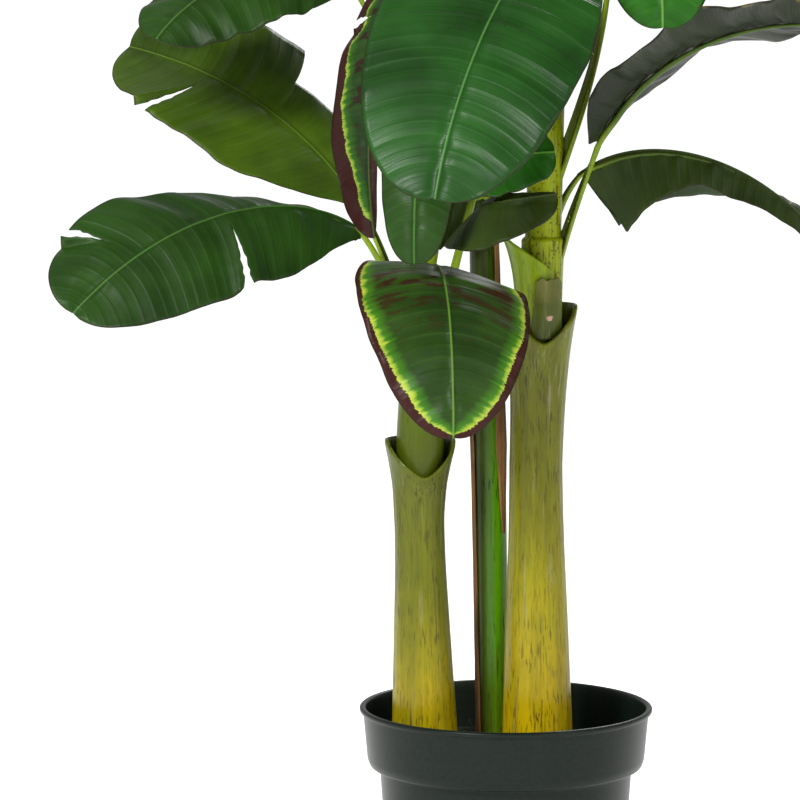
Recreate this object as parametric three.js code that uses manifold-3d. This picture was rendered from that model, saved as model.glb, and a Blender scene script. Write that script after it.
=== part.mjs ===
// Artificial banana plant: three moulded stems with long-stalked fabric leaves, cast into a nursery pot.
// Millimetres, +Z up. The origin is the middle of the pot's flat underside, and -Y is the plant's front.
import * as THREE from "three";
import { mergeVertices } from "three/addons/utils/BufferGeometryUtils.js";
import Module from "manifold-3d";

const wasm = await Module();
wasm.setup();

// ---- driving dimensions -------------------------------------------------------------------------------
const GAP = 0.4; // between pieces that touch
const POT = {
  height: 190,
  rimRadius: 120, // outside of the rolled lip
  lipHeight: 5,
  bandTop: 117.3, // radius of the wide band under the lip
  bandBottom: 113.5,
  bandHeight: 43,
  bodyTop: 103.5, // radius where the body leaves the band
  baseRadius: 94,
  wall: 3,
};
const FILL_TOP = 140; // level of the casting and its fibre topping
const STEM_FOOT = 80; // how low the stems stand in the casting
const BLADE_THICKNESS = 2;

// Each stem's centre line runs straight through these places.
const STEMS = {
  a: { foot: [27, -5], bend: [24, -5, 390], top: [40, -2, 985] },
  b: { foot: [-64, -15], bend: [-71, -15, 350], top: [-68, -12, 600] },
  c: { foot: [-9, 30], bend: [-14, 30, 400], top: [-24, 34, 700] },
};

const COLOURS = {
  pot: [0x27312e, 0.55],
  casting: [0x2e241a, 0.95],
  sheath: [0x8b8f1e, 0.4],
  core: [0x9aa51f, 0.45],
  snag: [0x6b7040, 0.5],
  slim: [0x4c8a12, 0.4],
  husk: [0x8a6a48, 0.85],
  stalk: [0x88b020, 0.45],
  leaf: [0x1f5a26, 0.4],
};

// ---- leaves -------------------------------------------------------------------------------------------
// on, at     the stem and the height at which the stalk leaves it
// heading    compass of the leaf seen from above, 0 = +X and 90 = +Y: at the stem, at the blade's foot, at its tip
// rise       slope above the horizon at the same three places
// stalk      length of the stalk; size is the blade's length and width
// bend       under 1 the blade bends over early, over 1 late
// roll       how far the left side is lifted, at the blade's foot and at its tip
// fold       slope of both halves away from the midrib at the same two places; curl is added towards the edges
// point      2 is a round tip, 1.3 a long one; wave is [height, number] of ripples along the edges
// swell      how far along the blade its left and right side reach their full width
// trim       [side, from, to, share, ramp]: a stretch of one side that narrows over a ramp to a share of its width
// lobes      [share of the half width, length] of the rounded lobes behind the blade's foot
// tears      [side (1 left, -1 right), place along the blade, depth, droop of the part beyond it]
const LEAVES = [
  // the short stem's leaves
  { name: "b1", on: "b", at: 420, heading: [190, 205, 214], rise: [84, 50, -44], stalk: 168, size: [280, 142],
    bend: 0.5, roll: [-20, -51], fold: [-30, 11], curl: -6, point: 2.4,
    lobes: [0.12, 4], swell: [0.36, 0.78], tears: [[1, 0.45, 0.8, 3], [-1, 0.76, 0.5, 14]] },
  { name: "b2", on: "b", at: 424, heading: [150, 152, 166], rise: [81, 53, 12], stalk: 184, size: [252, 166],
    bend: 0.9, roll: [-24, -36], fold: [6, 8], curl: -10, point: 3,
    trim: [[-1, 0.08, 0.46, 0.55, 0.05]], tears: [[1, 0.7, 0.75, -8]] },
  { name: "b3", on: "b", at: 464, heading: [290, 281, 274], rise: [80, 62, -88], stalk: 74, size: [242, 140],
    bend: 0.6, roll: [0, 0], fold: [-6, -4], curl: -10, point: 1.6,
    tears: [] },
  { name: "b4", on: "b", at: 436, heading: [-20, 150, 168], rise: [77, 66, -16], stalk: 430, size: [340, 140],
    bend: 0.8, roll: [0, 0], fold: [-6, -8], curl: -12, point: 2,
    tears: [[-1, 0.6, 0.7, 8]] },
  { name: "b5", on: "b", at: 515, heading: [340, 214, 206], rise: [80, 84, -99], stalk: 290, size: [262, 92],
    bend: 0.17, roll: [-10, -44], fold: [-5, -5], curl: -12, point: 2,
    trim: [[1, -0.1, 1.02, 0.2, 0.05]], tears: [[-1, 0.32, 0.5, 4]] },
  { name: "b6", on: "b", at: 490, heading: [300, 268, 256], rise: [86, 76, -95], stalk: 214, size: [206, 60],
    bend: 0.32, roll: [0, 0], fold: [-8, -8], curl: -12, point: 4,
    tears: [] },
  { name: "b7", on: "b", at: 520, heading: [120, 185, 225], rise: [85, 58, -46], stalk: 258, size: [200, 118],
    bend: 0.5, roll: [-12, -30], fold: [-20, -8], curl: -10, point: 1.8,
    tears: [] },
  // the tall stem's lower leaves
  { name: "a1", on: "a", at: 512, heading: [-10, -34, -30], rise: [74, 64, -14], stalk: 148, size: [280, 118],
    bend: 0.75, roll: [10, -26], fold: [6, 4], curl: 4, point: 1.9,
    wave: [4, 3], lobes: [0.4, 4], tears: [] },
  { name: "a2", on: "a", at: 622, heading: [214, 242, 370], rise: [22, 6, 4], stalk: 60, size: [104, 80],
    bend: 0.8, roll: [30, 58], fold: [-6, -6], curl: -6, point: 1.7,
    tears: [] },
  { name: "a3", on: "a", at: 545, heading: [40, 10, -4], rise: [76, 46, -62], stalk: 88, size: [266, 135],
    bend: 0.6, roll: [10, 34], fold: [-80, 8], curl: -4, point: 2,
    lobes: [0.9, 14], trim: [[-1, 0.04, 1.02, 0.35, 0.36]], tears: [[1, 0.62, 0.6, 6]] },
  { name: "a4", on: "a", at: 672, heading: [266, 268, 234], rise: [82, 34, -76], stalk: 110, size: [384, 168],
    bend: 0.8, roll: [0, -30], fold: [2, 2], curl: -6, point: 2.8,
    swell: [0.66, 0.36], tears: [] },
  { name: "a5", on: "a", at: 600, heading: [-12, -62, -86], rise: [69, 88, -88], stalk: 222, size: [184, 92],
    bend: 0.5, roll: [0, 0], fold: [2, 2], curl: -10, point: 2.6,
    tears: [] },
  { name: "a6", on: "a", at: 745, heading: [50, 50, 40], rise: [80, 55, -20], stalk: 120, size: [340, 140],
    bend: 0.8, roll: [10, 10], fold: [-6, -6], curl: -12, point: 2,
    tears: [] },
  { name: "a7", on: "a", at: 582, heading: [214, 236, 368], rise: [24, 5, 9], stalk: 60, size: [128, 90],
    bend: 0.8, roll: [36, 58], fold: [-6, -6], curl: -6, point: 1.35,
    trim: [[1, -0.1, 1.02, 0.25, 0.05]], tears: [] },
  // the thin stem's leaves
  { name: "c1", on: "c", at: 610, heading: [110, 108, 104], rise: [86, 66, -6], stalk: 205, size: [360, 145],
    bend: 0.8, roll: [0, 0], fold: [-6, -6], curl: -12, point: 2,
    tears: [[1, 0.5, 0.7, 8]] },
  { name: "c2", on: "c", at: 566, heading: [334, 182, 168], rise: [72, 12, -20], stalk: 56, size: [60, 90],
    bend: 0.8, roll: [0, 0], fold: [-80, -80], curl: -2, point: 2.6,
    lobes: [0.8, 8], trim: [[-1, -0.1, 1.02, 0.2, 0.05]], tears: [] },
  // the crown
  { name: "t1", on: "a", at: 800, heading: [140, 135, 130], rise: [82, 60, -30], stalk: 170, size: [430, 165],
    bend: 0.9, roll: [0, 0], fold: [-4, -6], curl: -14, point: 2,
    tears: [[1, 0.55, 0.7, 8]] },
  { name: "t2", on: "a", at: 830, heading: [15, 12, 8], rise: [82, 56, -34], stalk: 160, size: [430, 165],
    bend: 0.9, roll: [0, 8], fold: [-4, -6], curl: -14, point: 2,
    tears: [[-1, 0.6, 0.7, 8]] },
  { name: "t3", on: "a", at: 860, heading: [290, 285, 280], rise: [82, 60, -40], stalk: 150, size: [430, 165],
    bend: 0.9, roll: [0, 0], fold: [-4, -6], curl: -14, point: 2,
    tears: [[1, 0.5, 0.7, 8]] },
  { name: "t4", on: "a", at: 890, heading: [215, 205, 196], rise: [84, 66, -14], stalk: 160, size: [440, 170],
    bend: 0.9, roll: [0, -8], fold: [-4, -6], curl: -14, point: 2,
    tears: [[-1, 0.62, 0.7, 8]] },
  { name: "t5", on: "a", at: 905, heading: [80, 76, 70], rise: [72, 68, 0], stalk: 160, size: [440, 165],
    bend: 1.1, roll: [0, 0], fold: [-4, -6], curl: -14, point: 2,
    tears: [] },
  { name: "t6", on: "a", at: 930, heading: [-26, -26, -32], rise: [70, 72, 18], stalk: 150, size: [420, 155],
    bend: 1.2, roll: [0, 0], fold: [0, -4], curl: -12, point: 2,
    tears: [] },
];

// ---- helpers ------------------------------------------------------------------------------------------
const rad = THREE.MathUtils.degToRad;
const lerp = THREE.MathUtils.lerp;
const clamp = THREE.MathUtils.clamp;

function stemCentre(key, z) {
  const { foot, bend, top } = STEMS[key];
  if (z <= bend[2]) {
    const t = (z - STEM_FOOT) / (bend[2] - STEM_FOOT);
    return [lerp(foot[0], bend[0], t), lerp(foot[1], bend[1], t)];
  }
  const t = (z - bend[2]) / (top[2] - bend[2]);
  return [lerp(bend[0], top[0], t), lerp(bend[1], top[1], t)];
}

// A closed three.js geometry as a solid that can be cut, and back again.
function toSolid(geometry) {
  const bare = geometry.clone();
  for (const key of Object.keys(bare.attributes)) if (key !== "position") bare.deleteAttribute(key);
  const merged = mergeVertices(bare, 1e-3);
  return new wasm.Manifold(
    new wasm.Mesh({
      numProp: 3,
      vertProperties: merged.attributes.position.array,
      triVerts: new Uint32Array(merged.index.array),
    }),
  );
}

function toGeometry(solid) {
  const { vertProperties, triVerts } = solid.getMesh();
  const geometry = new THREE.BufferGeometry();
  geometry.setAttribute("position", new THREE.BufferAttribute(vertProperties, 3));
  geometry.setIndex(new THREE.BufferAttribute(triVerts, 1));
  return geometry;
}

// Moves every vertex of a geometry through a function of its place.
function reshape(geometry, place) {
  const p = geometry.attributes.position;
  const from = new THREE.Vector3();
  for (let i = 0; i < p.count; i++) {
    from.fromBufferAttribute(p, i);
    const to = place(from);
    p.setXYZ(i, to.x, to.y, to.z);
  }
  return geometry;
}

// ---- the leaf's centre line and blade -----------------------------------------------------------------
const CURVE_STEPS = 80;

// Points and directions along stalk and midrib. The sum of small steps follows the stated slopes and headings.
function centreLine(leaf) {
  const [length] = leaf.size;
  const total = leaf.stalk + length;
  const step = total / CURVE_STEPS;
  const [x, y] = stemCentre(leaf.on, leaf.at);
  const here = new THREE.Vector3(x, y, leaf.at);
  const points = [];
  for (let i = 0; i <= CURVE_STEPS; i++) {
    const s = i * step;
    const onBlade = Math.max(0, (s - leaf.stalk) / length);
    const onStalk = Math.min(1, s / leaf.stalk) ** 2;
    const bent = onBlade ** leaf.bend;
    const rise = rad(
      lerp(leaf.rise[0], leaf.rise[1], onStalk) + (leaf.rise[2] - leaf.rise[1]) * bent,
    );
    const heading = rad(
      lerp(leaf.heading[0], leaf.heading[1], onStalk) + (leaf.heading[2] - leaf.heading[1]) * onBlade,
    );
    const along = new THREE.Vector3(
      Math.cos(rise) * Math.cos(heading),
      Math.cos(rise) * Math.sin(heading),
      Math.sin(rise),
    );
    const left = new THREE.Vector3(-Math.sin(heading), Math.cos(heading), 0);
    const up = new THREE.Vector3().crossVectors(along, left);
    points.push({ at: here.clone(), along, left, up });
    here.addScaledVector(along, step);
  }
  return { points, step, total };
}

// The place and directions at a distance along the line; past its end it runs straight on.
function frameAt(line, s) {
  const f = clamp(s / line.step, 0, CURVE_STEPS - 1e-6);
  const i = Math.floor(f);
  const t = f - i;
  const mix = (key) =>
    new THREE.Vector3().lerpVectors(line.points[i][key], line.points[i + 1][key], t);
  const at = mix("at");
  const along = mix("along").normalize();
  const over = s - clamp(s, 0, line.total);
  return { at: at.addScaledVector(along, over), along, left: mix("left"), up: mix("up") };
}

// Half the blade's width at a place along it, 0 to 1, before any tear.
function halfWidth(leaf, u, side) {
  const foot = leaf.lobes ? leaf.lobes[0] : 0;
  const swell = leaf.swell ? leaf.swell[side > 0 ? 0 : 1] : 0.36;
  const shoulder = 1 - (1 - foot) * (1 - Math.min(1, u / swell)) ** 2;
  const taper = u < 0.4 ? 1 : (1 - ((u - 0.4) / 0.6) ** leaf.point) ** 0.62;
  let kept = 1;
  for (const [s, from, to, share, ramp] of leaf.trim ?? []) {
    if (s === side) kept = 1 - (1 - share) * clamp((u - from) / ramp, 0, 1) * clamp((to - u) / 0.012, 0, 1);
  }
  return Math.max(2, (leaf.size[1] / 2) * shoulder * taper * kept);
}

const TEAR_HALF = 0.018; // half a tear's mouth, as a share of the blade's length

// How much of the half width is left beside a tear, and how far the part beyond droops.
function tearing(leaf, u, side) {
  let left = 1;
  let droop = 0;
  for (const [s, at, depth, fall] of leaf.tears) {
    if (s !== side) continue;
    left = Math.min(left, 1 - depth * clamp(1 - Math.abs(u - at) / TEAR_HALF, 0, 1));
    if (u > at) droop -= fall * clamp((u - at) / TEAR_HALF, 0, 1) * (1 - (u - at) / (1 - at));
  }
  return { left, droop };
}

// A point of the blade's middle surface: u along it, v from -1 (right edge) over the midrib to 1 (left edge).
function bladePoint(leaf, line, u, v) {
  const [length] = leaf.size;
  const side = Math.sign(v) || 1;
  const tear = tearing(leaf, u, side);
  const half = halfWidth(leaf, u, side) * tear.left;
  const out = Math.abs(v);
  const back = leaf.lobes ? leaf.lobes[1] * clamp(1 - u / 0.2, 0, 1) : 0;
  const sweep = (0.12 + 0.3 * u) * half * out * out - back * out ** 1.5; // the side veins lean towards the tip
  const foot = leaf.lobes ? 6 * GAP : GAP;
  const frame = frameAt(line, leaf.stalk + foot + u * (length - foot) + sweep);
  const roll = rad(lerp(leaf.roll[0], leaf.roll[1], u));
  const slope = rad(lerp(leaf.fold[0], leaf.fold[1], u) + tear.droop + (leaf.curl * out) / 2);
  const wave = leaf.wave ? leaf.wave[0] * out * out * Math.sin(2 * Math.PI * leaf.wave[1] * u + side) : 0;
  const across = side * out * half * Math.cos(slope);
  const lift = out * half * Math.sin(slope) + wave;
  const acrossDir = frame.left.clone().multiplyScalar(Math.cos(roll)).addScaledVector(frame.up, Math.sin(roll));
  const normal = frame.up.clone().multiplyScalar(Math.cos(roll)).addScaledVector(frame.left, -Math.sin(roll));
  return {
    at: frame.at.clone().addScaledVector(acrossDir, across).addScaledVector(normal, lift),
    normal,
  };
}

const ACROSS = 4; // panels across a blade
const ALONG = 7; // panels along it, before the tears add theirs

function stations(leaf) {
  const list = [];
  for (let i = 0; i <= ALONG; i++) list.push((i / ALONG) ** 1.1);
  for (const [, at] of leaf.tears) list.push(at - TEAR_HALF, at, at + TEAR_HALF);
  for (const [, , to] of leaf.trim ?? []) if (to < 1) list.push(to - 0.012, to);
  return list
    .sort((a, b) => a - b)
    .filter((u, i, all) => i === 0 || u === 1 || u - all[i - 1] > TEAR_HALF / 2);
}

function blade(leaf) {
  const line = centreLine(leaf);
  const list = stations(leaf);
  const box = new THREE.BoxGeometry(2, list.length - 1, 1, ACROSS, list.length - 1, 1);
  return reshape(box, (p) => {
    const u = list[Math.round(p.y + (list.length - 1) / 2)];
    const { at, normal } = bladePoint(leaf, line, u, p.x);
    return at.addScaledVector(normal, -p.z * BLADE_THICKNESS);
  });
}

const STALK_SIDES = 6;
const STALK_RINGS = 5;

// The stalk: a half-round gutter in life, a tapering oval limb here, wide at the stem and slim at the blade.
function stalk(leaf, grown = 0) {
  const line = centreLine(leaf);
  const rod = new THREE.CylinderGeometry(1, 1, 1, STALK_SIDES, STALK_RINGS);
  return reshape(rod, (p) => {
    const t = p.y + 0.5;
    const frame = frameAt(line, t * leaf.stalk);
    const wide = lerp(leaf.foot ?? 8, 3.2, Math.min(1, t * 1.4) ** 0.7) + grown;
    const thick = lerp(6, 3, t) + grown;
    return frame.at.clone().addScaledVector(frame.left, p.x * wide).addScaledVector(frame.up, -p.z * thick);
  });
}

// ---- stems --------------------------------------------------------------------------------------------
// A turned profile of [radius, height] pairs, closed on the axis, then bent along its stem. rim lowers the top
// edge round the stem: rim(angle) is the drop below the profile's own top, spread down over the stretch.
function turned(profile, sides, key, rim = null, stretch = 1) {
  const points = profile.map(([r, z]) => new THREE.Vector2(r, z));
  const lathe = new THREE.LatheGeometry(points, sides).rotateX(Math.PI / 2);
  const top = Math.max(...profile.map(([, z]) => z));
  return reshape(lathe, (p) => {
    const angle = Math.atan2(p.y, p.x);
    const share = clamp((p.z - (top - stretch)) / stretch, 0, 1);
    const z = p.z - (rim ? rim(angle) * share : 0);
    const [x, y] = key ? stemCentre(key, z) : [0, 0];
    return new THREE.Vector3(p.x + x, p.y + y, z);
  });
}

// Degrees between an angle and a bearing, 0 to 180.
function off(angle, bearing) {
  const d = Math.abs(THREE.MathUtils.radToDeg(angle) - bearing) % 360;
  return Math.min(d, 360 - d);
}

const vNotch = (bearing, depth, reach) => (angle) => depth * clamp(1 - off(angle, bearing) / reach, 0, 1);

const SHEATH_SIDES = 20;
const SHEATH_A = [
  [0, STEM_FOOT], [29, STEM_FOOT], [28.8, 170], [25.6, 260], [22.6, 330], [21.4, 391], [22.2, 440],
  [24.4, 478], [27.4, 505], [29.4, 519], [28, 521], [26, 519], [23.5, 500], [20.5, 478], [20, 470], [0, 470],
];
const SHEATH_B = [
  [0, STEM_FOOT], [27.4, STEM_FOOT], [26.8, 170], [23.2, 250], [20.6, 310], [20.2, 345], [22.2, 375],
  [26, 395], [28.8, 410], [27.6, 412], [25.8, 410], [23, 392], [20.8, 378], [20.3, 368], [0, 368],
];
const CORE_A = [
  [0, 470 + GAP], [17.5, 470 + GAP], [17, 520], [17.5, 573], [14.6, 574], [14, 700], [12, 850], [8, 960], [0, 985],
];
const CORE_B = [
  [0, 368 + GAP], [18.5, 368 + GAP], [19.5, 405], [18, 440], [14, 490], [10, 540], [6, 590], [0, 600],
];
const SPEAR = [
  [0, 985 + GAP], [6, 985 + GAP], [5, 1110], [9.5, 1190], [11, 1270], [7, 1410], [2, 1492], [0, 1500],
];
const STEM_C = [[0, STEM_FOOT], [14, STEM_FOOT], [13.4, 300], [12.6, 500], [10, 640], [5, 695], [0, 700]];

// A curved plate hugging a stem: a scale, a husk or a clasping collar. bearing is the side of the stem it covers,
// spread its half angle at the bottom and top, flare how far its top left stands out, slant its right end's drop.
function plate({ on, bearing, spread, from, to, radius, thick, flare = 0, slant = 0, panels = [6, 6] }) {
  const box = new THREE.BoxGeometry(2, 1, 1, panels[0], panels[1], 1);
  return reshape(box, (p) => {
    const t = p.y + 0.5;
    const angle = rad(bearing + p.x * lerp(spread[0], spread[1], t));
    const z = lerp(from, to - (slant * (1 + p.x)) / 2, t);
    const r = radius + (flare * t ** 3 * (1 - p.x)) / 2 + (0.5 + p.z) * lerp(thick[0], thick[1], t);
    const [x, y] = stemCentre(on, z);
    return new THREE.Vector3(x + r * Math.cos(angle), y + r * Math.sin(angle), z);
  });
}

// ---- pot ----------------------------------------------------------------------------------------------
function potGeometry() {
  const { height, rimRadius, lipHeight, bandTop, bandBottom, bandHeight, bodyTop, baseRadius, wall } = POT;
  const bandFoot = height - bandHeight;
  const shoulder = bandFoot - 8;
  return turned(
    [
      [0, 0], [baseRadius, 0], [bodyTop, shoulder], [bandBottom, bandFoot], [bandTop, height - lipHeight],
      [rimRadius, height - lipHeight + 1], [rimRadius - 1, height], [bandTop - wall, height - 1],
      [bandBottom - wall, bandFoot + 4], [bodyTop - wall, shoulder], [baseRadius - wall, wall + 1], [0, wall + 1],
    ],
    32,
    null,
  );
}

function fillGeometry() {
  const { bodyTop, baseRadius, wall, height, bandHeight } = POT;
  const shoulder = height - bandHeight - 8;
  const inside = (z) => lerp(baseRadius, bodyTop, Math.min(1, z / shoulder)) - wall - 2 * GAP;
  const low = wall + 1 + GAP;
  return turned([[0, low], [inside(low), low], [inside(shoulder - 1), shoulder - 1], [inside(shoulder - 1), FILL_TOP], [0, FILL_TOP]], 32, null);
}

// ---- assembly -----------------------------------------------------------------------------------------
const plant = new THREE.Group();

function add(name, geometry, finish) {
  const [color, roughness] = COLOURS[finish];
  const mesh = new THREE.Mesh(geometry, new THREE.MeshStandardMaterial({ color, roughness, metalness: 0 }));
  mesh.name = name;
  plant.add(mesh);
}

const grownStem = (profile, key, rim, stretch) =>
  toSolid(turned(profile.map(([r, z]) => [r ? r + GAP : 0, z]), SHEATH_SIDES, key, rim, stretch));

const rimA = vNotch(-84, 32, 75);
const rimB = vNotch(-80, 31, 80);
const stemSolids = {
  a: [grownStem(SHEATH_A, "a", rimA, 60), grownStem(CORE_A, "a")],
  b: [grownStem(SHEATH_B, "b", rimB, 50), grownStem(CORE_B, "b")],
  c: [grownStem(STEM_C, "c")],
};

add("pot", potGeometry(), "pot");
let casting = toSolid(fillGeometry());
for (const key of ["a", "b", "c"]) casting = casting.subtract(stemSolids[key][0]);
add("casting", toGeometry(casting), "casting");
add("sheath_a", turned(SHEATH_A, SHEATH_SIDES, "a", rimA, 60), "sheath");
add("core_a", turned(CORE_A, 16, "a"), "core");
add("sheath_b", turned(SHEATH_B, SHEATH_SIDES, "b", rimB, 50), "sheath");
add("core_b", turned(CORE_B, 16, "b"), "core");
add("stem_c", turned(STEM_C, 16, "c"), "slim");

add("spear", turned(SPEAR, 12, "a"), "stalk");
add("collar_a", plate({ on: "a", bearing: 238, spread: [72, 52], from: 493, to: 580, radius: 18.2, thick: [2.6, 2.2],
  flare: 15, slant: 30 }), "stalk");
add("snag_a", plate({ on: "a", bearing: 284, spread: [36, 11], from: 494, to: 541, radius: 22, thick: [1.2, 5],
  panels: [4, 4] }), "snag");
add("husk_c1", plate({ on: "c", bearing: 185, spread: [40, 16], from: 150, to: 500, radius: 14.4, thick: [2, 2],
  flare: 4, panels: [4, 9] }), "husk");
add("husk_c2", plate({ on: "c", bearing: 320, spread: [34, 12], from: 330, to: 580, radius: 14.2, thick: [2, 2],
  flare: 2, panels: [4, 8] }), "husk");

// Stalks are cut by the stem they leave and by the stalks made before them.
const cutters = Object.values(stemSolids).flat();
for (const leaf of LEAVES) {
  let body = toSolid(stalk(leaf));
  for (const cutter of cutters) body = body.subtract(cutter);
  const largest = body.decompose().sort((p, q) => q.volume() - p.volume())[0];
  cutters.push(toSolid(stalk(leaf, GAP)));
  add("stalk_" + leaf.name, toGeometry(largest), "stalk");
}
for (const leaf of LEAVES) add("blade_" + leaf.name, blade(leaf), "leaf");

export default plant;
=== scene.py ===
import math
import random

import bmesh
import bpy
import numpy as np
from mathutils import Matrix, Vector


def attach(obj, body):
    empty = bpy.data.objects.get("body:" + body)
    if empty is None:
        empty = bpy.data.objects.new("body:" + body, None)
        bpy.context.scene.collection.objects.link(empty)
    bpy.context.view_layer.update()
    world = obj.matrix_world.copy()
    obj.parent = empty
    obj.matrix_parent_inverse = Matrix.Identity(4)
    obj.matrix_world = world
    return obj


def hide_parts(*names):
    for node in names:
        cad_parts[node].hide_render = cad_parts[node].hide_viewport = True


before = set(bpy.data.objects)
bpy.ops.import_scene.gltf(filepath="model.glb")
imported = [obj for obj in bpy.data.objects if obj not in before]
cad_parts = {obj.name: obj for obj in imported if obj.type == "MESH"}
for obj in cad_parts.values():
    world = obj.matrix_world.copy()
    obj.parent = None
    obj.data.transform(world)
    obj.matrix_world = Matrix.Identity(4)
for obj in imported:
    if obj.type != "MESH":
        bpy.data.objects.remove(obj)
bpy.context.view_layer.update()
chance = random.Random(20)

MM = 0.001
GAP = 0.4  # left between a leaf's blade and its rib, and before the blade's foot
VEIN = 10.5  # from one side vein to the next
CLOTH = 0.7  # thickness of a blade
TEAR_HALF = 0.018  # half the opening of a tear, as a share of the blade's length
RIB_END = 0.985  # how far along the blade its rib runs
STEPS = 80  # of a leaf's centre line
TURN = 6.3  # about a full turn, for random phases
STEM_FOOT = 80
FILL_FOOT = 4.5
FILL_TOP = 140
FILL_RADIUS = (90.6, 99.4)  # at the foot and at the top
FIBRES = 420
FIBRE_REACH = 97  # from the pot's middle
TUFT = 11  # every so many fibres one stands in a tuft
# number of moulding spikes on a stalk, and how much taller than usual they are
FLASH = {"a1": (8, 1), "b4": (8, 1.6)}
FLASH_ELSEWHERE = (3, 1)
# the camera, in metres
EYE_HEIGHT = 0.757
EYE_BACK = 3.0

# Each stem's centre line runs straight through these places.
STEMS = {
    "a": ((27, -5, STEM_FOOT), (24, -5, 390), (40, -2, 985)),
    "b": ((-64, -15, STEM_FOOT), (-71, -15, 350), (-68, -12, 600)),
    "c": ((-9, 30, STEM_FOOT), (-14, 30, 400), (-24, 34, 700)),
}

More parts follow.
